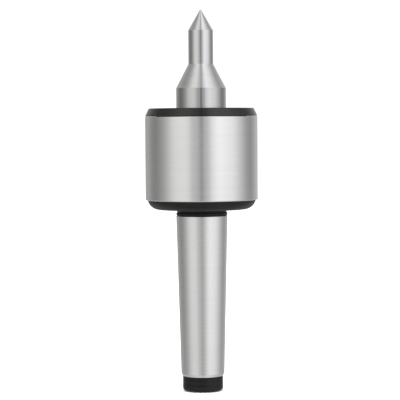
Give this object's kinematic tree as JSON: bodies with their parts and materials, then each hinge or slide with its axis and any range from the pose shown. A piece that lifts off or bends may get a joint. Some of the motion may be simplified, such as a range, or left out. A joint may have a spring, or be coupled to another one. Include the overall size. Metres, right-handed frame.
{
  "type": "live center",
  "caption": "Live center for a lathe tailstock: long stepped point on a spindle that spins in bearings inside a round housing, on a Morse taper shank.",
  "frame": {"origin": "centre of the Morse taper's gauge plane, on the axis of rotation, just below the neck under the housing", "axes": "+Z along the axis of rotation, from the shank towards the point; -Z goes into the tailstock. +X and +Y are square to it, with the cap's spanner holes halfway between them"},
  "size_m": [0.0526, 0.0526, 0.1788],
  "materials": {
    "ground_steel": "ground bright on the housing, the taper and the point, blackened on the neck, the back of the housing and the plain end",
    "black_oxide": "black oxide on turned steel",
    "bearing_steel": "ground and polished",
    "spring_steel": "oiled spring steel",
    "brass": "machined",
    "rubber": "moulded"
  },
  "bodies": {
    "housing": {"body": "ground_steel", "front_cap": "black_oxide", "nose_seal": "rubber", "seal_garter_spring": "spring_steel", "cap_o_ring": "rubber", "front_bearing_outer_ring": "bearing_steel", "front_bearing_upper_shield": "spring_steel", "front_bearing_lower_shield": "spring_steel", "thrust_housing_washer": "bearing_steel", "needle_cup": "bearing_steel"},
    "spindle": {"spindle": "ground_steel", "front_bearing_inner_ring": "bearing_steel", "retaining_ring": "spring_steel", "thrust_shaft_washer": "bearing_steel"},
    "front_cage": {"front_bearing_cage": "brass", "front_ball_01": "bearing_steel", "front_ball_02": "bearing_steel", "front_ball_03": "bearing_steel", "front_ball_04": "bearing_steel", "front_ball_05": "bearing_steel", "front_ball_06": "bearing_steel", "front_ball_07": "bearing_steel", "front_ball_08": "bearing_steel", "front_ball_09": "bearing_steel"},
    "thrust_cage": {"thrust_bearing_cage": "brass", "thrust_ball_01": "bearing_steel", "thrust_ball_02": "bearing_steel", "thrust_ball_03": "bearing_steel", "thrust_ball_04": "bearing_steel", "thrust_ball_05": "bearing_steel", "thrust_ball_06": "bearing_steel", "thrust_ball_07": "bearing_steel", "thrust_ball_08": "bearing_steel", "thrust_ball_09": "bearing_steel", "thrust_ball_10": "bearing_steel", "thrust_ball_11": "bearing_steel", "thrust_ball_12": "bearing_steel"},
    "needle_cage": {"needle_cage": "spring_steel", "needle_01": "bearing_steel", "needle_02": "bearing_steel", "needle_03": "bearing_steel", "needle_04": "bearing_steel", "needle_05": "bearing_steel", "needle_06": "bearing_steel", "needle_07": "bearing_steel", "needle_08": "bearing_steel", "needle_09": "bearing_steel", "needle_10": "bearing_steel", "needle_11": "bearing_steel", "needle_12": "bearing_steel", "needle_13": "bearing_steel", "needle_14": "bearing_steel"}
  },
  "joints": [
    {"name": "spindle_spin", "type": "hinge", "parent": "housing", "child": "spindle", "pos_m": [0, 0, 0.0403], "axis": [0, 0, 1], "continuous": true},
    {"name": "front_cage_spin", "type": "hinge", "parent": "housing", "child": "front_cage", "pos_m": [0, 0, 0.0403], "axis": [0, 0, 1], "continuous": true},
    {"name": "thrust_cage_spin", "type": "hinge", "parent": "housing", "child": "thrust_cage", "pos_m": [0, 0, 0.0275], "axis": [0, 0, 1], "continuous": true},
    {"name": "needle_cage_spin", "type": "hinge", "parent": "housing", "child": "needle_cage", "pos_m": [0, 0, 0.0164], "axis": [0, 0, 1], "continuous": true}
  ],
  "couplings": [
    {"joint": "front_cage_spin", "follows": "spindle_spin", "ratio": 0.3976},
    {"joint": "thrust_cage_spin", "follows": "spindle_spin", "ratio": 0.5},
    {"joint": "needle_cage_spin", "follows": "spindle_spin", "ratio": 0.4286}
  ]
}
